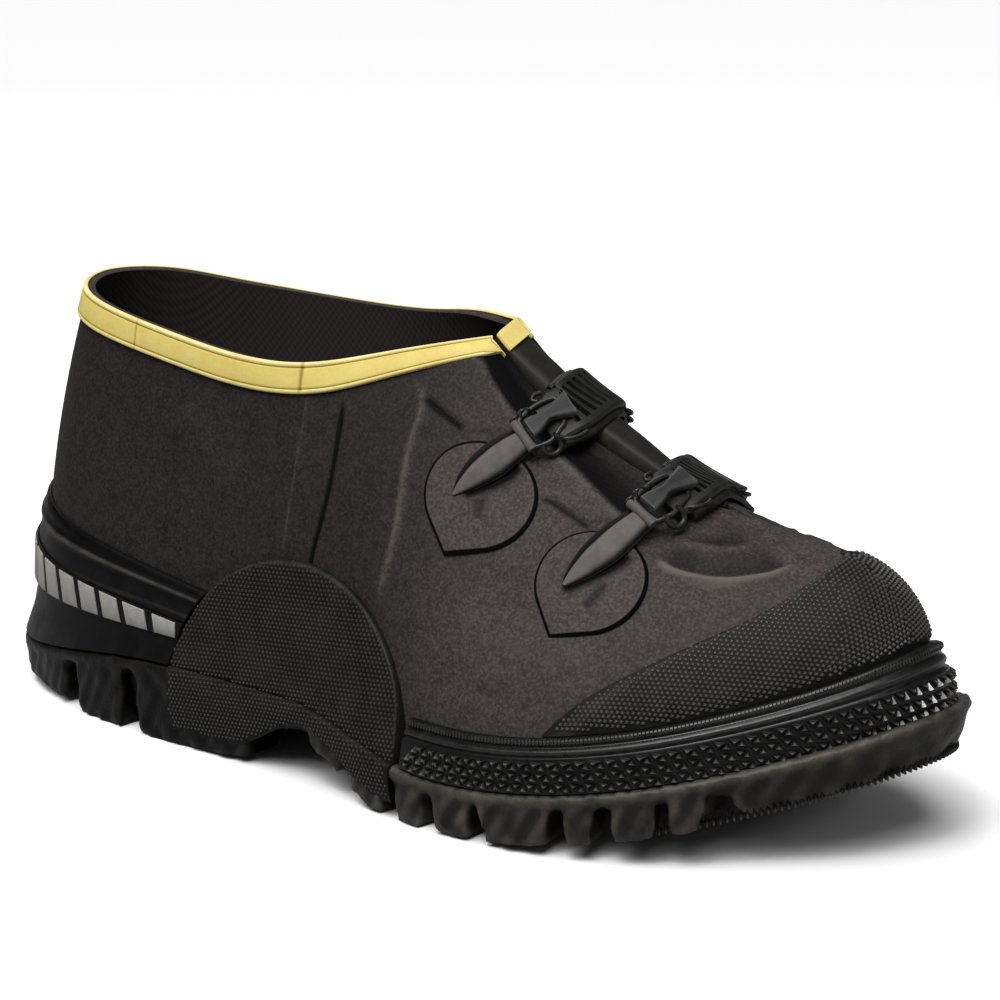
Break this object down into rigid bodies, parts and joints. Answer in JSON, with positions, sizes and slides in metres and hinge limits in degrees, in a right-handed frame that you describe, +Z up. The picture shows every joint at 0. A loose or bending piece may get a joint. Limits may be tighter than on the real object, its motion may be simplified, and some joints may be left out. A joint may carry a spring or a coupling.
{
  "type": "buckled rubber overshoe",
  "caption": "Low black rubber overshoe with a yellow collar tape, folded throat gusset, ladder buckles, knurled toe cap and lugged sole, worn over another shoe.",
  "frame": {"origin": "middle of the shoe's bounding box, on the floor under its sole", "axes": "+X from heel to toe, +Y to the inner (medial) side of the foot, +Z up"},
  "size_m": [0.322, 0.1222, 0.129],
  "materials": {
    "sole_rubber": "moulded black rubber, low gloss",
    "upper_rubber": "charcoal rubber sheet, matte with a fine mottled grain",
    "gusset_rubber": "thin folded black rubber",
    "binding_yellow": "dull yellow rubber tape with fine lengthwise grooves",
    "foxing_rubber": "black rubber strip, semi-gloss, ribbed and knurled",
    "knurled_rubber": "charcoal rubber with a fine knurl",
    "reflective_grey": "slanted grey reflective bars on black",
    "strap_rubber": "charcoal rubber strap",
    "buckle_grey": "dark grey coated steel",
    "buckle_black": "black coated steel",
    "insole_cloth": "dark knitted lining"
  },
  "bodies": {
    "root": {"buckle_ladder_1": "buckle_black", "buckle_ladder_2": "buckle_black", "buckle_lever_1": "buckle_grey", "buckle_lever_2": "buckle_grey", "buckle_patch_1": "upper_rubber", "buckle_patch_2": "upper_rubber", "buckle_strap_1": "strap_rubber", "buckle_strap_2": "strap_rubber", "buckle_tab_1": "strap_rubber", "buckle_tab_2": "strap_rubber", "buckle_wire_1": "buckle_black", "buckle_wire_2": "buckle_black", "collar_binding": "binding_yellow", "foxing": "foxing_rubber", "gusset": "gusset_rubber", "gusset_binding": "binding_yellow", "heel_band": "foxing_rubber", "insole": "insole_cloth", "outsole": "sole_rubber", "reflective_strip": "reflective_grey", "side_patch_lateral": "knurled_rubber", "side_patch_medial": "knurled_rubber", "toe_cap": "knurled_rubber", "upper": "upper_rubber"}
  },
  "joints": []
}
